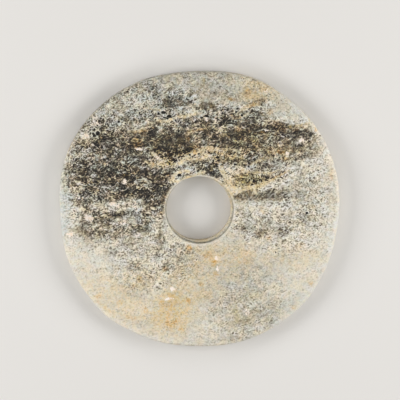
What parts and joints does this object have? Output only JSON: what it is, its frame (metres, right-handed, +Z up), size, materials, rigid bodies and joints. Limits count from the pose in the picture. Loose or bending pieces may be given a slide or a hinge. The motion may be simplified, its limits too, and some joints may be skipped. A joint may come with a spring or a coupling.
{
  "type": "jade bi disc",
  "caption": "Flat round disc of mottled nephrite jade with a wide central hole, its rim ground by hand; a plain archaic ritual object that lies on its underside.",
  "frame": {"origin": "on the axis of the hole, in the plane of the underside that it lies on", "axes": "+Z up out of the finer face, along the hole; +Y towards the flattest stretch of the rim; +X to the right of that as seen from above"},
  "size_m": [0.1992, 0.1984, 0.0125],
  "materials": {
    "jade": "polished nephrite, mottled grey-green, cream and brown, weathered matt and pitted along a dark band"
  },
  "bodies": {
    "root": {"jade_disc": "jade"}
  },
  "joints": []
}
